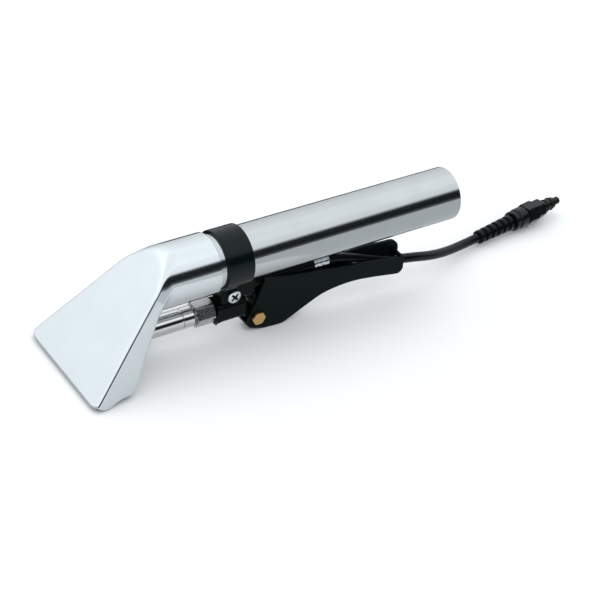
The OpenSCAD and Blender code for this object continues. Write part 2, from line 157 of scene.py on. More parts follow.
def remap(tree, value, low, high, out_low, out_high):
    node = tree.nodes.new("ShaderNodeMapRange")
    for key, number in zip(("From Min", "From Max", "To Min", "To Max"),
                           (low, high, out_low, out_high)):
        node.inputs[key].default_value = number
    tree.links.new(value, node.inputs["Value"])
    return node.outputs["Result"]


def two_tone(tree, value, dark, light):
    node = tree.nodes.new("ShaderNodeMix")
    node.data_type = "RGBA"
    node.inputs[6].default_value = (*dark, 1)
    node.inputs[7].default_value = (*light, 1)
    tree.links.new(value, node.inputs[0])
    return node.outputs[2]


def bump(tree, shader, value, strength, distance):
    node = tree.nodes.new("ShaderNodeBump")
    node.inputs["Strength"].default_value = strength
    node.inputs["Distance"].default_value = distance
    tree.links.new(value, node.inputs["Height"])
    tree.links.new(node.outputs["Normal"], shader.inputs["Normal"])


METAL_CLOUD = 55                    # noise scale of the slow change of tone over metal
MOULD_CLOUD = 90
MOULD_GRAIN = 2600


def metal(name, dark, light, rough, grain_scale, grain, turn=0.0, grain_depth=2e-6):
    """Bare or plated metal. Its grain runs in lines across the axis with the largest scale."""
    mat, tree, shader = new_material(name)
    shader.inputs["Metallic"].default_value = 1
    lines = noise(tree, coords(tree, grain, turn), grain_scale, 4, 0.6)
    cloud = noise(tree, coords(tree, (1, 1, 1)), METAL_CLOUD, 2, 0.5)
    tree.links.new(two_tone(tree, remap(tree, cloud, 0.3, 0.7, 0, 1), dark, light),
                   shader.inputs["Base Color"])
    tree.links.new(remap(tree, lines, 0.25, 0.75, rough[0], rough[1]), shader.inputs["Roughness"])
    bump(tree, shader, lines, 1.0, grain_depth)
    return mat


def plastic(name, dark, light, rough, grain_depth, gloss):
    """Moulded plastic or rubber with a fine moulded grain."""
    mat, tree, shader = new_material(name)
    grain = noise(tree, coords(tree, (1, 1, 1)), MOULD_GRAIN, 3, 0.6)
    cloud = noise(tree, coords(tree, (1, 1, 1)), MOULD_CLOUD, 3, 0.5)
    tree.links.new(two_tone(tree, remap(tree, cloud, 0.3, 0.7, 0, 1), dark, light),
                   shader.inputs["Base Color"])
    tree.links.new(remap(tree, cloud, 0.3, 0.7, rough[0], rough[1]), shader.inputs["Roughness"])
    shader.inputs["Specular IOR Level"].default_value = gloss
    bump(tree, shader, grain, 0.6, grain_depth)
    return mat


TILT = math.atan2(mount("vacuum_port")["axis"][2], mount("vacuum_port")["axis"][0])

MATERIALS = {
    "polished_steel": metal("polished_steel", (0.55, 0.59, 0.61), (0.57, 0.61, 0.63),
                            (0.09, 0.15), 300, (1, 1, 12), grain_depth=4e-7),
    "brushed_tube": metal("brushed_tube", (0.435, 0.455, 0.465), (0.46, 0.48, 0.49),
                          (0.11, 0.16), 400, (14, 0.6, 0.6), turn=TILT, grain_depth=1.2e-6),
    "chrome_plate": metal("chrome_plate", (0.55, 0.545, 0.55), (0.62, 0.61, 0.61),
                          (0.06, 0.12), 700, (1, 1, 1), grain_depth=5e-7),
    "cast_chrome": metal("cast_chrome", (0.30, 0.30, 0.31), (0.46, 0.46, 0.47),
                         (0.20, 0.34), 620, (1, 1, 1), grain_depth=2.2e-5),
    "zinc_plate": metal("zinc_plate", (0.52, 0.56, 0.58), (0.64, 0.69, 0.72),
                        (0.14, 0.26), 900, (1, 1, 1), grain_depth=3e-6),
    # bright_steel is kept near black as painted shade: the parts it dresses sit in shade inside the
    # valve.
    "bright_steel": metal("bright_steel", (0.08, 0.08, 0.08), (0.13, 0.13, 0.13),
                          (0.25, 0.35), 900, (1, 1, 1)),
    "brass": metal("brass", (0.60, 0.38, 0.15), (0.74, 0.49, 0.21),
                   (0.26, 0.36), 1300, (1, 1, 1), grain_depth=8e-6),
    "clamp_plastic": plastic("clamp_plastic", (0.0005, 0.003, 0.003), (0.0015, 0.005, 0.005),
                             (0.20, 0.28), grain_depth=4e-6, gloss=0.17),
    "valve_plastic": plastic("valve_plastic", (0.0005, 0.0015, 0.0015), (0.0015, 0.003, 0.003),
                             (0.16, 0.24), grain_depth=4e-6, gloss=0.08),
    "trigger_plastic": plastic("trigger_plastic", (0.001, 0.004, 0.0038),
                               (0.002, 0.006, 0.0055), (0.34, 0.44), grain_depth=1.6e-5,
                               gloss=0.06),
    "hose_rubber": plastic("hose_rubber", (0.001, 0.0015, 0.002), (0.002, 0.003, 0.004),
                           (0.16, 0.24), grain_depth=6e-6, gloss=0.11),
    "fitting_plastic": plastic("fitting_plastic", (0.001, 0.0015, 0.002), (0.003, 0.004, 0.005),
                               (0.18, 0.28), grain_depth=8e-6, gloss=0.24),
    "seal_rubber": plastic("seal_rubber", (0.004, 0.004, 0.004), (0.008, 0.008, 0.008),
                           (0.45, 0.60), grain_depth=8e-6, gloss=0.2),
}


# ---------------------------------------------------------------- building pieces

def finish_piece(obj, slot, body, replaces=()):
    obj.data.materials.clear()
    obj.data.materials.append(MATERIALS[slot])
    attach(obj, body)
    if replaces:
        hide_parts(*replaces)
    return obj


MERGE = 1e-4
BEVEL_SEGMENTS = 3


def piece(name, bm, slot, body="tool", replaces=(), bevel=0.0, sharp=30):
    """A mesh piece from a bmesh in the tool's frame. bevel is the edge radius in mm, and sharp
    the angle in degrees from which an edge is bevelled, or stays sharp."""
    bmesh.ops.remove_doubles(bm, verts=bm.verts, dist=MERGE)
    bmesh.ops.recalc_face_normals(bm, faces=bm.faces)
    mesh = bpy.data.meshes.new(name)
    bm.to_mesh(mesh)
    bm.free()
    mesh.transform(TOOL)
    mesh.polygons.foreach_set("use_smooth", [True] * len(mesh.polygons))
    obj = bpy.data.objects.new(name, mesh)
    bpy.context.scene.collection.objects.link(obj)
    if bevel:
        rounding = obj.modifiers.new("edge_rounding", "BEVEL")
        rounding.width = bevel * MM
        rounding.segments = BEVEL_SEGMENTS
        rounding.limit_method = "ANGLE"
        rounding.angle_limit = math.radians(sharp)
        rounding.harden_normals = True
    else:
        mesh.set_sharp_from_angle(angle=math.radians(sharp))
    shading = obj.modifiers.new("shading", "WEIGHTED_NORMAL")
    shading.keep_sharp = True
    shading.weight = 80
    return finish_piece(obj, slot, body, replaces)


def along_x(x=0.0, z=0.0):
    """Places a lathe's axis along X at height z."""
    return Matrix.Translation((x, 0, z))


def along_y(x, z):
    """Places a lathe's axis along Y through (x, z)."""
    return Matrix.Translation((x, 0, z)) @ Matrix.Rotation(math.radians(90), 4, "Z")


def rounded(points, radius, steps=4, closed=True):
    """The polyline with its corners turned into arcs. radius is one number, or one per point."""
    pts = [Vector(p) for p in points]
    n = len(pts)
    out = []
    for i, p in enumerate(pts):
        r = radius[i] if hasattr(radius, "__len__") else radius
        if (not closed and i in (0, n - 1)) or r <= 0:
            out.append(p)
            continue
        a, b = pts[i - 1] - p, pts[(i + 1) % n] - p
        la, lb = a.length, b.length
        a.normalize()
        b.normalize()
        angle = a.angle(b)
        if angle > math.pi - 0.02:
            out.append(p)
            continue
        reach = min(r / math.tan(angle / 2), 0.45 * la, 0.45 * lb)
        r = reach * math.tan(angle / 2)
        centre = p + (a + b).normalized() * (r / math.sin(angle / 2))
        start, end = p + a * reach - centre, p + b * reach - centre
        for k in range(steps + 1):
            t = k / steps
            way = start.slerp(end, t) if start.angle(end) > 1e-4 else start
            out.append(centre + way.normalized() * r)
    return out


def lathe(bm, profile, place=Matrix(), steps=72, closed=True):
    """Turns a profile of (station, radius) points round the X axis of place."""
    rings = []
    for station, radius in profile:
        if radius < 1e-6:
            rings.append([bm.verts.new(place @ Vector((station, 0, 0)))])
            continue
        ring = []
        for k in range(steps):
            a = 2 * math.pi * k / steps
            ring.append(bm.verts.new(place @ Vector((station, radius * math.cos(a),
                                                     radius * math.sin(a)))))
        rings.append(ring)
    pairs = list(zip(rings, rings[1:]))
    if closed:
        pairs.append((rings[-1], rings[0]))
    for a, b in pairs:
        join_rings(bm, a, b)


def join_rings(bm, a, b):
    """Quads between two rings, or a fan where one of them is a point."""
    if len(a) == 1 and len(b) == 1:
        return
    if len(a) == 1 or len(b) == 1:
        tip, ring = (a[0], b) if len(a) == 1 else (b[0], a)
        for k in range(len(ring)):
            bm.faces.new((tip, ring[k], ring[(k + 1) % len(ring)]))
        return
    for k in range(len(a)):
        m = (k + 1) % len(a)
        bm.faces.new((a[k], a[m], b[m], b[k]))


def prism(bm, outline, y0, y1):
    """An outline of (x, z) points made into a slab between two Y stations."""
    near = [bm.verts.new((x, y0, z)) for x, z in outline]
    far = [bm.verts.new((x, y1, z)) for x, z in outline]
    bm.faces.new(near)
    bm.faces.new(far[::-1])
    for k in range(len(near)):
        m = (k + 1) % len(near)
        bm.faces.new((near[k], near[m], far[m], far[k]))


HEX_STEPS = 120
CHAMFER = math.radians(30)


def hex_bar(bm, length, flats, place, bore=0.0, corner=0.97):
    """A hexagonal nut or head along X with conical chamfers, and a bore if it has one. corner
    is the share of the full radius at which its corners are turned off."""
    half = flats / 2
    cone = half * 1.04
    rings = {key: [] for key in ("in0", "out0", "side0", "side1", "out1", "in1")}
    for k in range(HEX_STEPS):
        a = 2 * math.pi * k / HEX_STEPS
        off = (a % (math.pi / 3)) - math.pi / 6
        r = min(half / math.cos(off), half / math.cos(math.pi / 6) * corner)
        drop = max(r - cone, 0) * math.tan(CHAMFER)
        flat = min(r, cone)
        for key, station, radius in (("in0", 0, bore), ("out0", 0, flat), ("side0", drop, r),
                                     ("side1", length - drop, r), ("out1", length, flat),
                                     ("in1", length, bore)):
            if radius > 0:
                rings[key].append(bm.verts.new(place @ Vector(
                    (station, radius * math.cos(a), radius * math.sin(a)))))
    order = [rings[key] for key in ("out0", "side0", "side1", "out1")]
    for a, b in zip(order, order[1:]):
        join_rings(bm, a, b)
    if bore:
        join_rings(bm, rings["in0"], rings["out0"])
        join_rings(bm, rings["out1"], rings["in1"])
        join_rings(bm, rings["in1"], rings["in0"])
    else:
        bm.faces.new(rings["out0"])
        bm.faces.new(rings["out1"][::-1])


# ---------------------------------------------------------------- hose and plug

def make_hose():
    line = catmull(HOSE_ROUTE, 4)
    curve = bpy.data.curves.new("solution_hose", "CURVE")
    curve.dimensions = "3D"
    curve.bevel_depth = HOSE_D / 2 * MM
    curve.bevel_resolution = 8
    curve.use_fill_caps = True
    spline = curve.splines.new("POLY")
    spline.points.add(len(line) - 1)
    for point, p in zip(spline.points, line):
        point.co = (*(p * MM), 1)
    spline.use_smooth = True
    hose = bpy.data.objects.new("solution_hose", curve)
    bpy.context.scene.collection.objects.link(hose)
    curve.materials.append(MATERIALS["hose_rubber"])
    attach(hose, "tool")
    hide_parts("hose")
    return hose, path_length(line) * MM


hose, hose_length = make_hose()

# The plug's axis carries on from the hose, in the row frame
PLUG_START = Vector((212, 23.6, 6.5))
PLUG_TURN = 10
PLUG_RISE = 2.6
PLUG = (TOOL.inverted() @ Matrix.Scale(MM, 4) @ Matrix.Translation(PLUG_START)
        @ Matrix.Rotation(math.radians(PLUG_TURN), 4, "Z")
        @ Matrix.Rotation(math.radians(-PLUG_RISE), 4, "Y"))
RELIEF_LEN = 40
RELIEF_RIBS = 6
RIB_GROWTH = 0.15                   # each rib's radius is this much larger than the last
COLLAR_START = 38.4                 # the coupling's first ring closes over the boot's end
BODY_LEN = 12.5
NUT_LEN = 10.5
LOCK_NUT_LEN = 9
NUT_FLATS = 16.3
LOCK_NUT_FLATS = 13.8
STEM_LEN = 21
SEALS_AT = (5, 10)
HOSE_R = HOSE_D / 2


def make_strain_relief():
    pitch = COLLAR_START / RELIEF_RIBS
    bm = bmesh.new()
    profile = [(0, HOSE_R)]
    for i in range(RELIEF_RIBS):
        crest = 5.3 + RIB_GROWTH * i
        root = 3.8 + RIB_GROWTH * i
        start = i * pitch
        profile += [(start + 0.02 * pitch, root), (start + 0.05 * pitch, crest - 0.25),
                    (start + 0.15 * pitch, crest), (start + 0.58 * pitch, crest),
                    (start + 0.68 * pitch, crest - 0.25), (start + 0.72 * pitch, root),
                    (start + 0.97 * pitch, root)]
    profile += [(RELIEF_LEN, 4.9), (RELIEF_LEN, HOSE_R)]
    lathe(bm, rounded(profile, 0.5, 4), PLUG, 64)
    return piece("strain_relief_boot", bm, "hose_rubber", replaces=["strain_relief"])


def make_coupling():
    start, end = COLLAR_START, RELIEF_LEN + BODY_LEN
    bm = bmesh.new()
    profile = [(start, 2.2), (start, 7.2), (start + 0.5, 7.7), (start + 2.6, 7.7),
               (start + 3.1, 6.7), (start + 4.9, 6.7), (start + 5.4, 7.6), (start + 6.4, 8.1),
               (end - 1.2, 8.1), (end, 7.4), (end, 2.2)]
    lathe(bm, rounded(profile, 0.45, 4), PLUG, 72)
    body = piece("plug_body", bm, "fitting_plastic", replaces=["coupling_body"])
    bm = bmesh.new()
    for at, length, flats in ((end, NUT_LEN, NUT_FLATS),
                              (end + NUT_LEN, LOCK_NUT_LEN, LOCK_NUT_FLATS)):
        hex_bar(bm, length, flats, PLUG @ Matrix.Translation((at, 0, 0)), bore=4.6, corner=0.98)
    nut = piece("plug_nut", bm, "fitting_plastic", replaces=["coupling_nut"])
    return body, nut


def make_plug_stem():
    base = RELIEF_LEN + BODY_LEN
    face = base + NUT_LEN + LOCK_NUT_LEN
    tip = face + STEM_LEN
    bm = bmesh.new()
    profile = [(base + 0.5, 1.5), (base + 0.5, 4.5)]
    for at in SEALS_AT:
        profile += [(face + at, 4.5), (face + at + 0.1, 3.9), (face + at + 1.5, 3.9),
                    (face + at + 1.6, 4.5)]
    profile += [(tip - 6.6, 4.5), (tip - 6, 3), (tip, 3), (tip, 1.5)]
    lathe(bm, rounded(profile, 0.25, 3), PLUG, 56)
    stem = piece("plug_tip", bm, "fitting_plastic", replaces=["plug_stem"])
    bm = bmesh.new()
    for at in SEALS_AT:
        ring = [(face + at + 0.8 + 0.75 * math.cos(a), 4.45 + 0.75 * math.sin(a))
                for a in [math.pi * k / 6 for k in range(12)]]
        lathe(bm, ring, PLUG, 56)
    seals = piece("plug_o_rings", bm, "seal_rubber", replaces=["plug_seals"])
    return stem, seals


relief = make_strain_relief()
plug_pieces = [relief, *make_coupling(), *make_plug_stem()]


# ---------------------------------------------------------------- head

LIP = Vector((-121.8, 0, -53))
FACE_ANGLE = math.radians(45.8)
UP_FACE = Vector((math.cos(FACE_ANGLE), 0, math.sin(FACE_ANGLE)))
INTO_FACE = Vector((math.sin(FACE_ANGLE), 0, -math.cos(FACE_ANGLE)))
TAPER = math.radians(16.2)
LIP_W = 94.6
FACE_LEN = 92
SHEET = 1.2
NECK_R = 21.3
NECK_REAR = -15.6
HOOD_LOW = (21.9, 23.5)             # the hood's back plate: how far up the face, and how deep
HOOD_HIGH = (71, 11)
HOOD_LEAN = math.atan2(HOOD_LOW[1] - HOOD_HIGH[1], HOOD_HIGH[0] - HOOD_LOW[0])
CURL_R = 1.3                        # the sheet's edge is turned in at this radius
CURL_TURN = math.radians(62)
CURL_STEPS = 5
LIP_RISE = 1.0                      # the turned edge ends this much short of the lip line
LIP_CORNER_R = 12
LIP_CORNER_REACH = 8.4              # how far in from the fold the lip's corner starts
LIP_CORNER_SPAN = 7.3               # how much of that reach is an arc
CENTRE_D = 5.5                      # depth of the line from which the wedge's sections are cast
NECK_BOX = (18.7, 12, 6.4)
HINGE = Vector((-44, 0, -36))       # the sections of the bend all pass through this line
RAY_REACH = 70.0
RAY_HALVINGS = 26
NECK_SECTIONS = 9
BEND_SECTIONS = 52
WEDGE_LEVELS = (63, 59, 55, 50, 45, 40, 35, 30, 26, 22, 18.5, 15, 12, 9, 6.5, 4.5, 3, 1.8, 0.8, 0)
# The side plate's edge: depth below the face, and height above the lip line
CHEEK_EDGE = [(0, 3.4), (4.3, 3.4), (7.4, 4.3), (9.9, 6.4), (12.2, 10.7), (15.2, 14.9),
              (19.8, 18.8), (23.5, 21.9)]


def smooth_max(a, b, k):
    h = max(k - abs(a - b), 0) / k
    return max(a, b) + h * h * k / 4


def smooth_min(a, b, k):
    return -smooth_max(-a, -b, k)


def ease(x, low, high):
    t = min(max((x - low) / (high - low), 0), 1)
    return t * t * (3 - 2 * t)


def half_width(s):
    return LIP_W / 2 - math.tan(TAPER) * s


def back_depth(s):
    """Depth of the hood's back plate below the front plate's outer face."""
    return HOOD_LOW[1] - (s - HOOD_LOW[0]) * math.tan(HOOD_LEAN)


def head_field(p):
    """Below zero inside the head: a tapered wedge joined to the neck, cut by the front plate.
    s runs up the front plate from the lip, and d back from its outer face."""
    q = p - LIP
    s, d = q.dot(UP_FACE), q.dot(INTO_FACE)
    neck = math.hypot(p.y, p.z) - NECK_R
    hood = (d - back_depth(s)) * math.cos(HOOD_LEAN)
    back = smooth_min(hood, d - HOOD_HIGH[1], 1.2)
    side = (abs(p.y) - half_width(s)) * math.cos(TAPER)
    wedge = smooth_max(smooth_max(side, back, 2.0), s - FACE_LEN, 14)
    body = smooth_min(neck, wedge, 3)
    return smooth_max(body, -d, 1.9 + 3.6 * ease(s, 86, 106))


def hit(origin, way):
    """Where a ray from inside the head meets its skin."""
    low, high = 0.0, RAY_REACH
    for _ in range(RAY_HALVINGS):
        middle = (low + high) / 2
        if head_field(origin + way * middle) < 0:
            low = middle
        else:
            high = middle
    return origin + way * low


def edge_shape(d):
    """How far up from the lip line the side plate's edge lies, at depth d."""
    for (d0, s0), (d1, s1) in zip(CHEEK_EDGE, CHEEK_EDGE[1:]):
        if d <= d1:
            return s0 + (s1 - s0) * max(d - d0, 0) / (d1 - d0)
    return CHEEK_EDGE[-1][1]


def soft_edge(d):
    """The side plate's edge with its corners eased."""
    return sum(edge_shape(abs(d + 0.5 * k)) * (4 - abs(k)) for k in range(-3, 4)) / 16


def corner_rise(y):
    """How far the lip's rounded corners rise."""
    over = min(max(abs(y) - LIP_W / 2 + LIP_CORNER_REACH, 0), LIP_CORNER_SPAN)
    return LIP_RISE + LIP_CORNER_R - math.sqrt(LIP_CORNER_R ** 2 - over ** 2)


def section_ways(width, front, back):
    """(across, down) directions round one half section, from the front's middle to the back's
    middle. They aim at a box of that half width, and crowd together towards its folds."""
    ways = [(width * (1 - (1 - k / 20) ** 2), -front) for k in range(20)]
    ways += [(width, (front + back) * (1 - math.cos(math.pi * k / 20)) / 2 - front)
             for k in range(20)]
    return ways + [(width * (1 - (k / 14) ** 2), back) for k in range(15)]


def section(origin, down, width, front, back):
    """One closed ring of the head's skin, in the plane of Y and down through origin."""
    half = []
    for across, drop in section_ways(width, front, back):
        half.append(hit(origin, (Vector((0, across, 0)) + down * drop).normalized()))
    mirrored = [Vector((p.x, -p.y, p.z)) for p in half[-2:0:-1]]
    return half + mirrored


def wedge_box(s):
    """Half width, front and back of a section square to the front plate."""
    return half_width(s), CENTRE_D, max(HOOD_HIGH[1], back_depth(s)) - CENTRE_D


def head_rings():
    """The neck's sections, the bend's and the wedge's, and last the turned-in edge."""
    rings = []
    for k in range(NECK_SECTIONS):
        x = NECK_REAR + (HINGE.x - NECK_REAR) * k / NECK_SECTIONS
        rings.append(section(Vector((x, 0, 0)), Vector((0, 0, -1)), *NECK_BOX))
    hinge_s = (HINGE - LIP).dot(UP_FACE)
    hinge_d = (HINGE - LIP).dot(INTO_FACE)
    for k in range(BEND_SECTIONS + 1):
        t = k / BEND_SECTIONS
        angle = FACE_ANGLE * t
        down = Vector((math.sin(angle), 0, -math.cos(angle)))
        reach = -HINGE.z + (hinge_d - CENTRE_D + HINGE.z) * t
        box = [a + (b - a) * t for a, b in zip(NECK_BOX, wedge_box(hinge_s))]
        rings.append(section(HINGE - down * reach, down, *box))
    for s in WEDGE_LEVELS:
        level = section(LIP + UP_FACE * s + INTO_FACE * CENTRE_D, INTO_FACE, *wedge_box(s))
        share = 1 - ease(s, 0, 50)
        rings.append([opened(p, share) + UP_FACE * CURL_R * share for p in level])
    return rings + curled_rim(rings[-1])


def curled_rim(edge):
    """Rings that turn the sheet's edge inward through most of a quarter circle."""
    count = len(edge)
    inward = []
    for k in range(count):
        along = edge[(k + 1) % count] - edge[k - 1]
        along -= UP_FACE * along.dot(UP_FACE)
        inward.append(along.cross(UP_FACE).normalized())
    if inward[0].dot(INTO_FACE) < 0:
        inward = [-way for way in inward]
    rings = []
    for step in range(1, CURL_STEPS + 1):
        a = CURL_TURN * step / CURL_STEPS
        rings.append([p + (way * (1 - math.cos(a)) - UP_FACE * math.sin(a)) * CURL_R
                      for p, way in zip(edge, inward)])
    return rings


def opened(p, share):
    """Moves a point of the wedge's skin up towards the shape of the opening's edge."""
    q = p - LIP
    s, d = q.dot(UP_FACE), q.dot(INTO_FACE)
    rise = 0.0
    for _ in range(3):
        new_d = d * back_depth(s + rise) / back_depth(s)
        on_side = ease(new_d, 0.1, 1.6)
        rise = share * (corner_rise(p.y) * (1 - on_side) + soft_edge(new_d) * on_side)
    y = p.y * half_width(s + rise) / half_width(s)
    return LIP + UP_FACE * (s + rise) + INTO_FACE * new_d + Vector((0, y, 0))


def make_head():
    bm = bmesh.new()
    rings = [[bm.verts.new(p) for p in ring] for ring in head_rings()]
    for a, b in zip(rings, rings[1:]):
        join_rings(bm, a, b)
    head = piece("head_shell", bm, "polished_steel", sharp=60,
                 replaces=["neck_collar", "front_plate", "left_side_plate",
                           "right_side_plate", "hood_back_plate"])
    head.modifiers.remove(head.modifiers["shading"])
    wall = head.modifiers.new("sheet", "SOLIDIFY")
    wall.thickness = SHEET * MM
    wall.offset = -1
    wall.thickness_clamp = 2.0
    rim = head.modifiers.new("rim_rounding", "BEVEL")
    rim.width = 0.4 * MM
    rim.segments = 3
    rim.limit_method = "ANGLE"
    rim.angle_limit = math.radians(60)
    shading = head.modifiers.new("shading", "WEIGHTED_NORMAL")
    shading.keep_sharp = True


make_head()


# ---------------------------------------------------------------- suction tube and clamp

TUBE_R = 19.05
TUBE_WALL = 1.2
TUBE_FRONT = -42


def make_tube():
    bm = bmesh.new()
    inner = TUBE_R - TUBE_WALL
    stations = [TUBE_FRONT + (TAIL - TUBE_FRONT) * k / 12 for k in range(13)]
    outer = [(x, TUBE_R) for x in stations]
    bore = [(x, inner) for x in reversed(stations)]
    corners = [0.4] + [0] * 11 + [0.4]
    lathe(bm, rounded(outer + bore, corners + corners, 4), along_x(), 128)
    piece("suction_tube_skin", bm, "brushed_tube", replaces=["suction_tube"])


CLAMP_HALF = 10
CLAMP_R = TUBE_R + 2
SLOT_HALF = 5
LUG_T = 2.4
LUG_LOW = -33


def make_clamp():
    """The ring is open at the bottom, where its two ends turn down into lugs."""
    bm = bmesh.new()
    section_pts = rounded([(-CLAMP_HALF, TUBE_R), (CLAMP_HALF, TUBE_R),
                           (CLAMP_HALF, CLAMP_R), (-CLAMP_HALF, CLAMP_R)],
                          [0.1, 0.1, 0.7, 0.7], 4)
    gap = math.asin(SLOT_HALF / TUBE_R)
    steps = 96
    rings = []
    for k in range(steps + 1):
        a = -math.pi / 2 + gap + (2 * math.pi - 2 * gap) * k / steps
        rings.append([bm.verts.new((x, r * math.cos(a), r * math.sin(a)))
                      for x, r in section_pts])
    for a, b in zip(rings, rings[1:]):
        join_rings(bm, a, b)
    bm.faces.new(rings[0])
    bm.faces.new(rings[-1][::-1])
    piece("clamp_ring", bm, "clamp_plastic", replaces=["tube_clamp"])
    bm = bmesh.new()
    outline = rounded([(-6.8, -18.2), (9.6, -18.2), (9.6, LUG_LOW + 2), (7.6, LUG_LOW),
                       (-4.8, LUG_LOW), (-6.8, LUG_LOW + 2)], [0, 0, 2, 2, 2, 2], 5)
    for side in (-1, 1):
        near, far = sorted((side * SLOT_HALF, side * (SLOT_HALF + LUG_T)))
        prism(bm, outline, near, far)
    # The lugs take the valve's darker, less glossy plastic instead of the ring's: painted shade, as
    # they lie in shade under the tube.
    piece("clamp_lugs", bm, "valve_plastic", bevel=0.6, sharp=50)


SCREW_X = 2.5
SCREW_Z = -27.4
RECESS_ARM = 3.2
RECESS_WIDTH = 0.7
SCREW_CROWN = 2.7
SCREW_R = 4.8
SCREW_STEPS = 96


def cross_recess_depth(x, z):
    """Depth of a cross recess at a point of the screw's head."""
    u, v = (x + z) / math.sqrt(2), (x - z) / math.sqrt(2)
    best = 0.0
    for a, b in ((u, v), (v, u)):
        if abs(a) < RECESS_ARM:
            wall = 1 - ease(abs(b), RECESS_WIDTH * 0.75, RECESS_WIDTH * 1.3)
            best = max(best, wall * (2.0 - 0.5 * abs(a)))
    return best


def make_screw():
    """Pan head with a cross recess, on a fine grid of rings so that the recess is real."""
    head_y = -(SLOT_HALF + LUG_T)
    bm = bmesh.new()
    radii = [0.0] + [0.15 * k for k in range(1, 22)] + [3.3, 3.6, 4.0, 4.35, 4.6, 4.75, SCREW_R]
    turns = [2 * math.pi * k / SCREW_STEPS for k in range(SCREW_STEPS)]
    rings = []
    for r in radii:
        dome = 1.15 * (1 - math.sqrt(max(1 - (r / SCREW_R) ** 2 * 0.92, 0)))
        ring = []
        for a in (turns if r else turns[:1]):
            u, v = r * math.cos(a), r * math.sin(a)
            height = SCREW_CROWN - dome - cross_recess_depth(u, v)
            ring.append(bm.verts.new((SCREW_X + u, head_y - height, SCREW_Z + v)))
        rings.append(ring)
    for y in (-0.25, 0.0):
        rings.append([bm.verts.new((SCREW_X + SCREW_R * math.cos(a), head_y + y,
                                    SCREW_Z + SCREW_R * math.sin(a))) for a in turns])
    for a, b in zip(rings, rings[1:]):
        join_rings(bm, a, b)
    bm.faces.new(rings[-1][::-1])
    lathe(bm, [(head_y, 0), (head_y, 2), (10.6, 2), (11, 1.6), (11, 0)],
          along_y(SCREW_X, SCREW_Z), 32, closed=False)
    screw = piece("clamp_screw_pan_head", bm, "zinc_plate", replaces=["clamp_screw"])
    screw.data.materials.append(MATERIALS["clamp_plastic"])     # painted shade: the recess's faces get this dark plastic
    # Faces deep in the cross recess take the dark plastic, as painted shade in the recess.
    to_tool = TOOL.inverted()
    for face in screw.data.polygons:
        middle = to_tool @ face.center
        depth = cross_recess_depth(middle.x - SCREW_X, middle.z - SCREW_Z)
        face.material_index = int(middle.y < head_y and depth > 0.25)


def make_clamp_nut():
    bm = bmesh.new()
    hex_bar(bm, 3.2, 7, along_y(SCREW_X, SCREW_Z) @ Matrix.Translation((SLOT_HALF + LUG_T, 0, 0)),
            bore=2)
    piece("clamp_hex_nut", bm, "zinc_plate", replaces=["clamp_nut"])


make_tube()
make_clamp()
make_screw()
make_clamp_nut()


# ---------------------------------------------------------------- spray valve

VALVE_Z = -39.5
VALVE_FRONT = -9.5
VALVE_REAR = 13
BLOCK_TOP = -33.4
BLOCK_LOW = -48.4
PIVOT = (24, -53)
LUG_HALF = 4.2
LUG_R = 5
INLET_Z = -27
INLET_END = 72
BARREL_FRONT = -62
BARREL_REAR = -24.4
BARREL_R = 7.4
GROOVE = -34.6
GROOVE_R = 6.6
WASHER_X = -18.2
UNION_REAR = -10.7


def make_valve_body():
    bm = bmesh.new()
    middle = (BLOCK_TOP + BLOCK_LOW) / 2
    half_h = (BLOCK_TOP - BLOCK_LOW) / 2
    corner_points = [(8, half_h), (-8, half_h), (-8, -half_h), (8, -half_h)]
    loops = []
    for x, grow in ((VALVE_FRONT, -0.6), (VALVE_FRONT + 0.6, 0.35), (VALVE_FRONT + 3.2, 0.35),
                    (VALVE_FRONT + 3.6, 0.0), (VALVE_REAR - 0.6, 0.0), (VALVE_REAR, -0.6)):
        shape = rounded([(y + math.copysign(grow, y), z + math.copysign(grow, z))
                         for y, z in corner_points], 4 + grow, 8)
        loops.append([bm.verts.new((x, y, middle + z)) for y, z in shape])
    for a, b in zip(loops, loops[1:]):
        join_rings(bm, a, b)
    bm.faces.new(loops[0])
    bm.faces.new(loops[-1][::-1])
    lathe(bm, rounded([(UNION_REAR, 5), (UNION_REAR, 7.2), (VALVE_FRONT + 0.4, 7.2),
                       (VALVE_FRONT + 0.4, 5)], 0.3, 3), along_x(z=VALVE_Z), 48)
    piece("valve_block", bm, "valve_plastic", replaces=["valve_body"], sharp=35)

    bm = bmesh.new()
    web = [(-6.4, -20.4), (-6.4, BLOCK_TOP - 1), (VALVE_REAR - 0.2, BLOCK_TOP - 1),
           (VALVE_REAR - 0.2, -19.8)]
    prism(bm, web, -4.9, 4.9)
    boss = rounded([(VALVE_REAR - 2, -22.4), (22, -22.4), (22, -33), (VALVE_REAR - 2, -33)],
                   [0, 1.5, 1.5, 0], 4)
    prism(bm, boss, -LUG_HALF, LUG_HALF)
    px, pz = PIVOT
    lug = [(VALVE_REAR - 4, BLOCK_LOW + 2.4), (px, pz + LUG_R)]
    lug += [(px + LUG_R * math.sin(a), pz + LUG_R * math.cos(a))
            for a in [math.pi * k / 14 for k in range(1, 17)]]
    lug += [(VALVE_REAR - 0.5, BLOCK_LOW), (VALVE_REAR - 4, BLOCK_LOW)]
    prism(bm, lug, -LUG_HALF, LUG_HALF)
    piece("valve_web_and_lug", bm, "valve_plastic", bevel=0.4, sharp=40)


def make_inlet():
    bm = bmesh.new()
    profile = [(14, 2), (14, 3), (22, 3), (22, 4.2), (26, 4.2), (26.5, 3.7), (28.5, 3.7),
               (29, 4.2), (INLET_END, 4.2), (INLET_END, 2)]
    lathe(bm, rounded(profile, 0.3, 3), along_x(z=INLET_Z), 48)
    piece("inlet_pipe", bm, "valve_plastic", replaces=["inlet_nipple"])


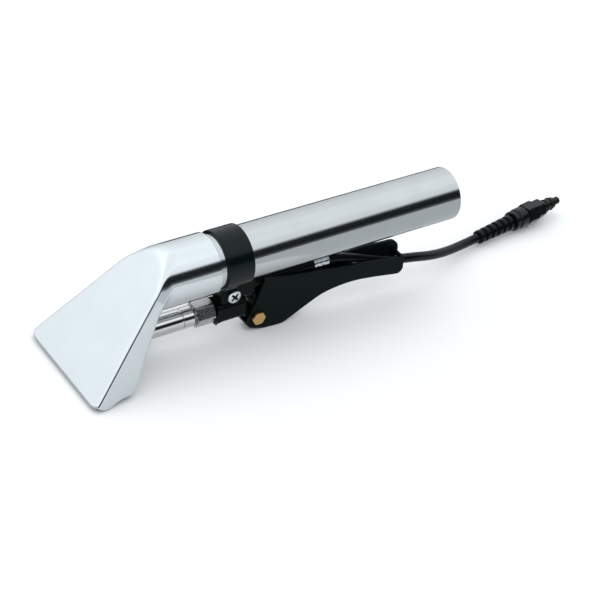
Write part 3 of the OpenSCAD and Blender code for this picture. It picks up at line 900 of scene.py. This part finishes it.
def make_ferrule():
    start, end = INLET_END - 2, INLET_END + 10
    bm = bmesh.new()
    profile = [(start, 4.22), (start, 4.4), (start + 1.2, 4.4), (start + 2, 4.35),
               (start + 2.8, 4.0), (start + 3.6, 4.35), (start + 5.2, 4.4), (start + 6.4, 4.4),
               (start + 7.2, 4.0), (start + 8, 4.35), (start + 9.4, 4.4), (end, 4.4),
               (end, 3.62), (start + 3, 3.6), (start + 2.4, 4.22)]
    lathe(bm, rounded(profile, 0.3, 3), along_x(z=INLET_Z), 56)
    piece("hose_ferrule", bm, "zinc_plate", replaces=["ferrule"])


def make_spray_line():
    bm = bmesh.new()
    place = along_x(UNION_REAR, VALVE_Z) @ Matrix.Rotation(math.pi, 4, "Z")
    hex_bar(bm, UNION_REAR - BARREL_REAR, 16, place, bore=5, corner=0.965)
    nut = piece("union_hex_nut", bm, "chrome_plate", replaces=["union_nut"], sharp=20)
    nut.data.materials[0] = MATERIALS["cast_chrome"]
    bm = bmesh.new()
    profile = [(BARREL_FRONT, 2), (BARREL_FRONT, 6.6), (BARREL_FRONT + 1, BARREL_R),
               (GROOVE - 0.75, BARREL_R), (GROOVE - 0.55, GROOVE_R), (GROOVE + 0.55, GROOVE_R),
               (GROOVE + 0.75, BARREL_R), (BARREL_REAR - 2, BARREL_R), (BARREL_REAR - 1.5, 7.0),
               (BARREL_REAR - 1.3, 5.7), (BARREL_REAR, 5.6), (BARREL_REAR, 5),
               (WASHER_X, 5), (WASHER_X, 2)]
    lathe(bm, rounded(profile, 0.15, 3), along_x(z=VALVE_Z), 96)
    piece("filter_housing", bm, "chrome_plate", replaces=["filter_barrel"])


make_valve_body()
make_inlet()
make_ferrule()
make_spray_line()


# ---------------------------------------------------------------- trigger

TRIGGER_HALF = 6.5
TRIGGER_IN = 4.5
FLOOR_T = 2
FLOOR_END = 108.4
# Its outline from the side, as (x, z): up the front, the straight top's two ends, and below
FRONT = [(16.3, -58.5), (18.3, -46.9), (21.2, -41.9), (28.1, -22.9)]
TOP_START = FRONT[-1]
TOP_END = (145.5, -40.2)
UNDER = [(16.3, -58.5), (19.3, -60.8), (25, -62.8), (30.8, -64.24), (43.1, -65),
         (47.1, -64.2), (51, -62.1), (58.9, -58.3), (66.9, -54.4), (74.8, -50.8),
         (83, -48.9), (91.4, -48), (99.8, -47.7), (108.4, -48.2), (117.1, -49.4),
         (125.9, -50.9), (134.9, -52.6), (140.5, -53.6)]
HEEL_END = 44.5                     # up to here the underside keeps its corners
FAR_RISE = (60, 116)                # where the far wall comes to stand taller
FAR_LEVEL = -29.8


def line_at(points, x):
    """Height of a polyline at x."""
    for (x0, z0), (x1, z1) in zip(points, points[1:]):
        if x <= x1:
            return z0 + (z1 - z0) * max(x - x0, 0) / (x1 - x0)
    return points[-1][1]


def smooth_at(points, x, reach):
    """Height of a polyline at x with its corners eased over reach."""
    samples = [line_at(points, x + reach * (k - 3) / 3) for k in range(7)]
    weights = [1, 2, 3, 4, 3, 2, 1]
    return sum(s * w for s, w in zip(samples, weights)) / sum(weights)


def trigger_stations():
    """(x, under, top of near wall, top of far wall) up to the floor's end."""
    rows = []
    for x in (16.6, 17.4, 18.3, 19.7, 21.2, 22.6, 24, 25.4, 26.8, TOP_START[0]):
        top = line_at(FRONT, x)
        rows.append((x, line_at(UNDER, x), top, top))
    while x < FLOOR_END - 0.1:
        x = min(x + 2.0, FLOOR_END)
        under = line_at(UNDER, x) if x < HEEL_END else smooth_at(UNDER, x, 3.0)
        rows.append((x, under, near_top(x), far_top(x)))
    return rows


def tail_rows(end_x, top_at, low_r):
    """One wall's stations past the floor: its under side turns up round the tail corner."""
    rows = []
    steps = 14
    x = FLOOR_END
    turn = end_x - low_r
    while x < turn - 0.1:
        x = min(x + 2.2, turn)
        rows.append((x, smooth_at(UNDER, x, 2.0), top_at(x)))
    under = rows[-1][1]
    for k in range(1, steps + 1):
        a = math.pi / 2 * k / steps
        x = turn + low_r * math.sin(a)
        rows.append((x, under + low_r * (1 - math.cos(a)), top_at(x)))
    return rows


def near_top(x):
    (x0, z0), (x1, z1) = TOP_START, TOP_END
    return z0 - (x - x0) * (z0 - z1) / (x1 - x0)


def far_top(x):
    """The far wall stands taller and ends in a half round."""
    centre_x, radius, crest, level_end = 139.2, 8.6, -31.4, 116.6
    if x < level_end:
        return near_top(x) + ease(x, *FAR_RISE) * (FAR_LEVEL - near_top(x))
    level = FAR_LEVEL + (crest - FAR_LEVEL) * ease(x, level_end, centre_x)
    over = max(x - centre_x, 0) / radius
    return level - (1 - math.sqrt(max(1 - over * over, 0))) * radius


def wall_loop(bm, x, under, top, side):
    """Four corners of one wall's section, and the floor's upper edge on its inner face."""
    outer, inner = side * TRIGGER_HALF, side * TRIGGER_IN
    return [bm.verts.new((x, y, z)) for y, z in
            ((outer, under), (outer, top), (inner, top), (inner, under + FLOOR_T), (inner, under))]


def make_trigger():
    bm = bmesh.new()
    shared = trigger_stations()
    floor_count = len(shared)
    near_rows = [(x, under, near) for x, under, near, _ in shared]
    near_rows += tail_rows(145.8, near_top, 4.6)
    far_rows = [(x, under, far) for x, under, _, far in shared]
    far_rows += tail_rows(147.8, far_top, 5.5)
    walls = {}
    for side, rows in ((-1, near_rows), (1, far_rows)):
        loops = [wall_loop(bm, x, under, max(top, under + FLOOR_T + 0.02), side)
                 for x, under, top in rows]
        walls[side] = loops
        for i, (a, b) in enumerate(zip(loops, loops[1:])):
            past_floor = [(3, 4)] if i >= floor_count - 1 else []
            for m, n in [(0, 1), (1, 2), (2, 3), *past_floor, (4, 0)]:
                bm.faces.new((a[m], a[n], b[n], b[m]))
        bm.faces.new(loops[0])
        bm.faces.new(loops[-1])
    for i in range(floor_count - 1):
        a, b = walls[-1][i], walls[-1][i + 1]
        c, d = walls[1][i], walls[1][i + 1]
        bm.faces.new((a[3], b[3], d[3], c[3]))
        bm.faces.new((a[4], b[4], d[4], c[4]))
    for i in (0, floor_count - 1):
        a, c = walls[-1][i], walls[1][i]
        bm.faces.new((a[3], a[4], c[4], c[3]))
    prism(bm, [(20.5, -46), (22.5, -46), (22.5, -33.6), (20.5, -33.6)], -4.8, 4.8)
    lathe(bm, rounded([(-6.3, 0), (-6.3, 1.6), (6.3, 1.6), (6.3, 0)], 0.4, 3, closed=False),
          along_y(143.2, -39.6), 24, closed=False)
    piece("trigger_lever", bm, "trigger_plastic", body="trigger", replaces=["trigger"],
          bevel=0.45, sharp=35)


BOLT_FLATS = 9
BOLT_HEAD_T = 2.2
BOLT_R = 3
PIVOT_NUT_T = 3


def make_pivot():
    face = TRIGGER_HALF + 0.3
    axis = along_y(*PIVOT)
    bm = bmesh.new()
    place = axis @ Matrix.Translation((-face, 0, 0)) @ Matrix.Rotation(math.pi, 4, "Z")
    hex_bar(bm, BOLT_HEAD_T, BOLT_FLATS, place)
    lathe(bm, [(-face, 0), (-face, BOLT_R), (10, BOLT_R), (10.5, BOLT_R - 0.5), (10.5, 0)],
          axis, 48, closed=False)
    piece("pivot_hex_bolt", bm, "brass", replaces=["pivot_bolt"], sharp=20)
    bm = bmesh.new()
    place = axis @ Matrix.Translation((face, 0, 0))
    hex_bar(bm, PIVOT_NUT_T, BOLT_FLATS, place, bore=BOLT_R)
    piece("pivot_hex_nut", bm, "brass", replaces=["pivot_nut"], sharp=20)


make_trigger()
make_pivot()


# ---------------------------------------------------------------- valve spring

SPRING_R = 3.4
SPRING_WIRE = 0.8
SPRING_TURNS = 4
SPRING_FRONT = -7.5                 # its fixed end
POPPET_X = -3.4                     # the end that the plunger pushes


def make_spring():
    """The valve's coil spring, between its fixed end and the end that the plunger pushes."""
    bm = bmesh.new()
    first = SPRING_FRONT + SPRING_WIRE / 2
    pitch = (POPPET_X - SPRING_WIRE / 2 - first) / SPRING_TURNS
    steps = 24 * SPRING_TURNS
    sides = 12
    rings = []
    for k in range(steps + 1):
        turns = SPRING_TURNS * k / steps
        out = Vector((0, math.cos(math.tau * turns), math.sin(math.tau * turns)))
        centre = Vector((first + pitch * turns, 0, VALVE_Z)) + out * SPRING_R
        ring = []
        for m in range(sides):
            a = math.tau * m / sides
            way = out * math.cos(a) + Vector((math.sin(a), 0, 0))
            ring.append(bm.verts.new(centre + way * SPRING_WIRE / 2))
        rings.append(ring)
    for a, b in zip(rings, rings[1:]):
        join_rings(bm, a, b)
    bm.faces.new(rings[0])
    bm.faces.new(rings[-1])
    spring = piece("valve_spring", bm, "bright_steel", sharp=60, replaces=["return_spring"])
    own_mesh(spring)


make_spring()


# ---------------------------------------------------------------- CAD nodes that stay

def dress_cad_nodes():
    """Every CAD node that is still shown gets its slot's material."""
    slots = {part["node"]: part["material_slot"] for part in frame["record"]["subparts"]}
    for name, node in frame["nodes"].items():
        if node.hide_render:
            continue
        node.data.materials.clear()
        node.data.materials.append(MATERIALS[slots[name]])


dress_cad_nodes()


# ---------------------------------------------------------------- floor and light

FLOOR_HALF = 12.0
FLOOR_Z = -0.0002                   # just under the object, in metres


def make_floor():
    bm = bmesh.new()
    bmesh.ops.create_grid(bm, x_segments=8, y_segments=8, size=FLOOR_HALF)
    mesh = bpy.data.meshes.new("floor")
    bm.to_mesh(mesh)
    bm.free()
    floor = bpy.data.objects.new("floor", mesh)
    floor.location.z = FLOOR_Z
    bpy.context.scene.collection.objects.link(floor)
    mat, _, shader = new_material("pale_floor")
    shader.inputs["Base Color"].default_value = (0.81, 0.81, 0.81, 1)
    shader.inputs["Roughness"].default_value = 0.7
    shader.inputs["Specular IOR Level"].default_value = 0
    mesh.materials.append(mat)


def reflection_card(name, azimuth, elevation, width, distance, shade, stops):
    """An upright curved card that only shows in glossy reflections. azimuth is from +X towards
    +Y, elevation is its lower and upper edge, both with width in degrees, and stops are
    (share of its height, how solid it is there)."""
    low, high = [math.radians(e) for e in elevation]
    centre = math.radians(azimuth)
    half = math.radians(width / 2)
    bm = bmesh.new()
    columns = 24
    edges = []
    for i in range(columns + 1):
        a = centre - half + 2 * half * i / columns
        edges.append([bm.verts.new((distance * math.cos(a), distance * math.sin(a),
                                    distance * math.tan(e))) for e in (low, high)])
    for (a, b), (c, d) in zip(edges, edges[1:]):
        bm.faces.new((a, c, d, b))
    mesh = bpy.data.meshes.new(name)
    bm.to_mesh(mesh)
    bm.free()
    tree, glow = stage_card(name, mesh, shade)
    clear = tree.nodes.new("ShaderNodeBsdfTransparent")
    place = tree.nodes.new("ShaderNodeTexCoord")
    split = tree.nodes.new("ShaderNodeSeparateXYZ")
    tree.links.new(place.outputs["Generated"], split.inputs["Vector"])
    solid = ramp(tree, split.outputs["Z"], [(at, (level,) * 3) for at, level in stops])
    blend = tree.nodes.new("ShaderNodeMixShader")
    tree.links.new(solid, blend.inputs[0])
    tree.links.new(clear.outputs["BSDF"], blend.inputs[1])
    tree.links.new(glow, blend.inputs[2])
    tree.links.new(blend.outputs["Shader"], tree.nodes["Material Output"].inputs["Surface"])


def floor_card(name, corners, shade):
    """A card lying on the floor that only shows in glossy reflections. corners are in metres."""
    (x0, y0), (x1, y1) = corners
    mesh = bpy.data.meshes.new(name)
    mesh.from_pydata([(x0, y0, 0), (x1, y0, 0), (x1, y1, 0), (x0, y1, 0)], [], [(0, 1, 2, 3)])
    tree, glow = stage_card(name, mesh, shade)
    tree.links.new(glow, tree.nodes["Material Output"].inputs["Surface"])


def stage_card(name, mesh, shade):
    """A stage object of that mesh that only glossy reflections see. Returns its material's tree
    and the output that glows in that shade."""
    card = bpy.data.objects.new(name, mesh)
    bpy.context.scene.collection.objects.link(card)
    mat, tree, _ = new_material(name)
    glow = tree.nodes.new("ShaderNodeEmission")
    glow.inputs["Color"].default_value = (*shade, 1)
    mesh.materials.append(mat)
    card.visible_camera = False
    card.visible_diffuse = False
    card.visible_shadow = False
    card.visible_transmission = False
    return tree, glow.outputs["Emission"]


def ramp(tree, value, stops):
    """A colour ramp over value, from (position, colour) stops."""
    node = tree.nodes.new("ShaderNodeValToRGB")
    node.color_ramp.interpolation = "EASE"
    while len(node.color_ramp.elements) < len(stops):
        node.color_ramp.elements.new(0.5)
    for element, (position, colour) in zip(node.color_ramp.elements, stops):
        element.position = position
        element.color = (*colour, 1)
    tree.links.new(value, node.inputs["Fac"])
    return node.outputs["Color"]


WORLD_PEAK = 1.6                    # the sky's strength, by which its colours are divided
WORLD_TINT = (0.97, 1, 1.02)
WORLD_STOPS = [(0.0, 0.90), (0.28, 1.08), (0.42, 1.20), (0.58, 1.31), (0.72, 1.35), (0.85, 1.50),
               (1.0, 1.40)]
FRONT_LIGHT = (131, 30)             # azimuth and elevation of the light that the face mirrors
FRONT_GAIN = 1.28
FRONT_SPREAD = (45, 15)             # degrees from its middle to where it starts and is full


def make_world():
    """A soft studio: dim at the horizon, bright overhead, and brighter before the head."""
    world = bpy.data.worlds.new("studio")
    bpy.context.scene.world = world
    world.use_nodes = True
    tree = world.node_tree
    sky = tree.nodes["Background"]
    source = tree.nodes.new("ShaderNodeTexCoord")
    split = tree.nodes.new("ShaderNodeSeparateXYZ")
    tree.links.new(source.outputs["Generated"], split.inputs["Vector"])
    tint = [t / WORLD_PEAK for t in WORLD_TINT]
    colour = ramp(tree, split.outputs["Z"],
                  [(height, [level * t for t in tint]) for height, level in WORLD_STOPS])
    tree.links.new(colour, sky.inputs["Color"])

    aim = tree.nodes.new("ShaderNodeVectorMath")
    aim.operation = "DOT_PRODUCT"
    azimuth, elevation = [math.radians(a) for a in FRONT_LIGHT]
    aim.inputs[1].default_value = (math.cos(azimuth) * math.cos(elevation),
                                   math.sin(azimuth) * math.cos(elevation), math.sin(elevation))
    tree.links.new(source.outputs["Generated"], aim.inputs[0])
    start, full = [math.cos(math.radians(a)) for a in FRONT_SPREAD]
    lobe = remap(tree, aim.outputs["Value"], start, full, WORLD_PEAK, WORLD_PEAK * FRONT_GAIN)
    tree.links.new(lobe, sky.inputs["Strength"])


def make_light():
    make_world()
    view = bpy.context.scene.view_settings
    view.view_transform = "Standard"
    reflection_card("dark_flag", -54, (0, 37.5), 78, 2.2, (0.008, 0.012, 0.014),
                    [(0, 0.6), (0.14, 0.95), (0.28, 1), (0.7, 1), (1, 0)])
    reflection_card("camera_side_flag", -110, (2, 39), 56, 2.0, (0.02, 0.022, 0.025),
                    [(0, 0), (0.12, 1), (0.6, 1), (1, 0)])
    floor_card("dark_floor_far", ((-0.7, 0.08), (0.7, 1.2)), (0.10, 0.11, 0.12))
    floor_card("dark_floor_front", ((-1.0, -0.5), (-0.156, 0.08)), (0.12, 0.13, 0.14))
    floor_card("dim_floor_tail", ((0.07, -1.2), (1.6, 0.08)), (0.74, 0.78, 0.80))


make_floor()
make_light()
